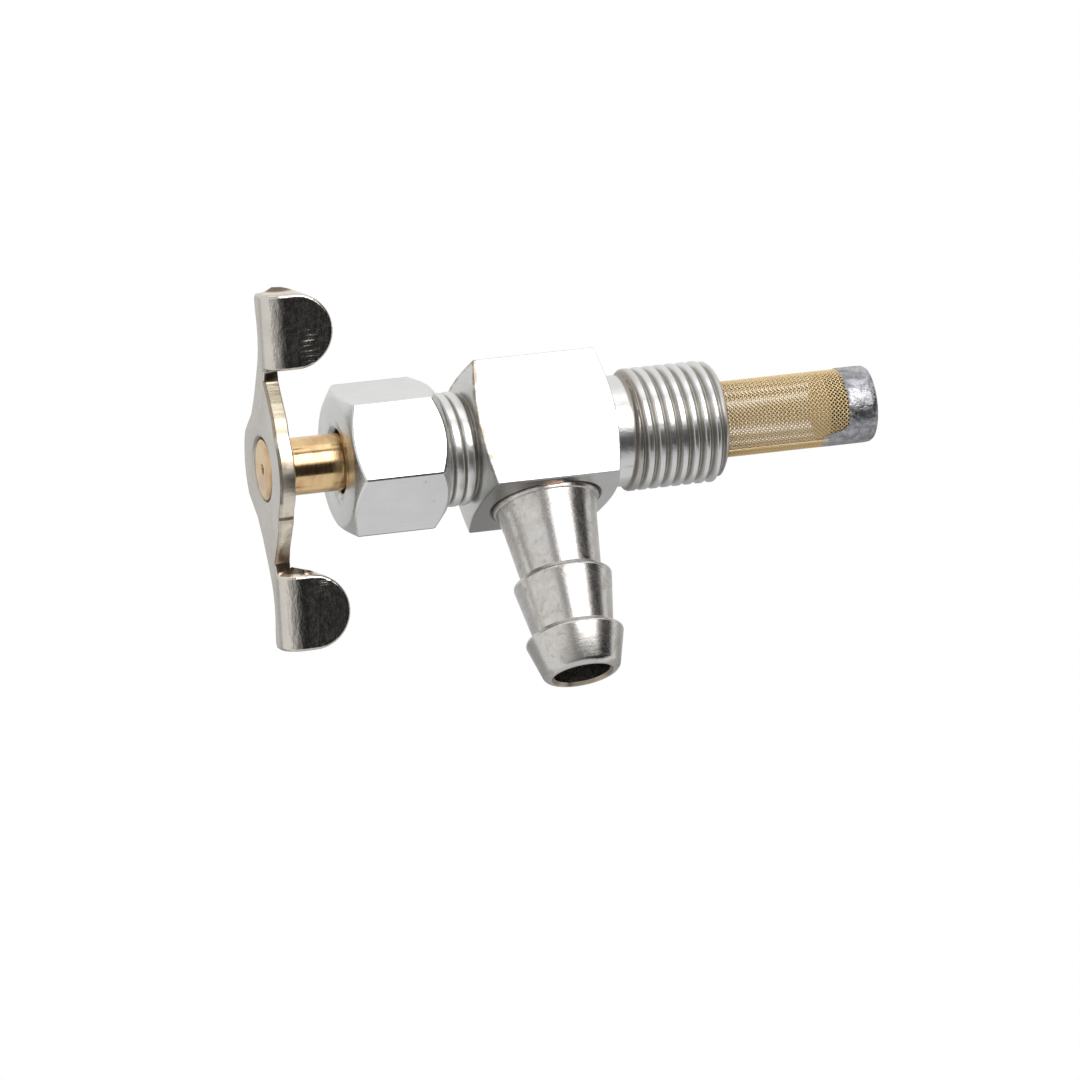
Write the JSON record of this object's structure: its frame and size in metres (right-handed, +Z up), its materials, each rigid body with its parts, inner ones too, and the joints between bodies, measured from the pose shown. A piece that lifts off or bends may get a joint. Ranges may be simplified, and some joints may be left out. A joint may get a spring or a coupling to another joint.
{
  "type": "fuel tap",
  "caption": "Screw-down fuel tap with a wing handle, a packed gland, a taper thread for the tank, a gauze strainer and a hose barb at a right angle.",
  "frame": {"origin": "on the main axis, where the full tank thread starts", "axes": "+X along the main axis from the handle to the strainer; +Z up; the outlet barb points to -Z"},
  "size_m": [0.0525, 0.0171, 0.0332],
  "materials": {
    "zinc_plated_steel": "bright zinc plate, satin",
    "plated_outlet": "turned, plated and blotchy from brazing",
    "nickel_plated_sheet": "bright nickel plate with a warm tint",
    "brass": "turned and polished",
    "brass_gauze": "fine woven wire",
    "solder": "cast, mottled grey",
    "copper_braze": "dull copper",
    "packing": "graphited fibre, matt",
    "ball_steel": "hardened and polished"
  },
  "bodies": {
    "tap_body": {"valve_body": "zinc_plated_steel", "outlet_barb": "plated_outlet", "braze_ring": "copper_braze", "gland_nut": "zinc_plated_steel", "packing_washer": "brass", "packing_ring_1": "packing", "packing_ring_2": "packing", "packing_ring_3": "packing", "gland_collar": "brass", "strainer_gauze": "brass_gauze", "strainer_ferrule": "brass", "strainer_cap": "solder"},
    "ball_carrier": {"valve_ball": "ball_steel"},
    "handle_and_spindle": {"spindle": "brass", "handle": "nickel_plated_sheet"}
  },
  "joints": [
    {"name": "spindle_lift", "type": "slide", "parent": "tap_body", "child": "ball_carrier", "axis": [-1, 0, 0], "range_m": [0, 0.00136]},
    {"name": "handle_turn", "type": "hinge", "parent": "ball_carrier", "child": "handle_and_spindle", "pos_m": [-0.02971, 0, 0], "axis": [-1, 0, 0], "range_deg": [0, 540]}
  ],
  "couplings": [
    {"joint": "spindle_lift", "follows": "handle_turn", "m_per_rad": 0.00014435}
  ]
}
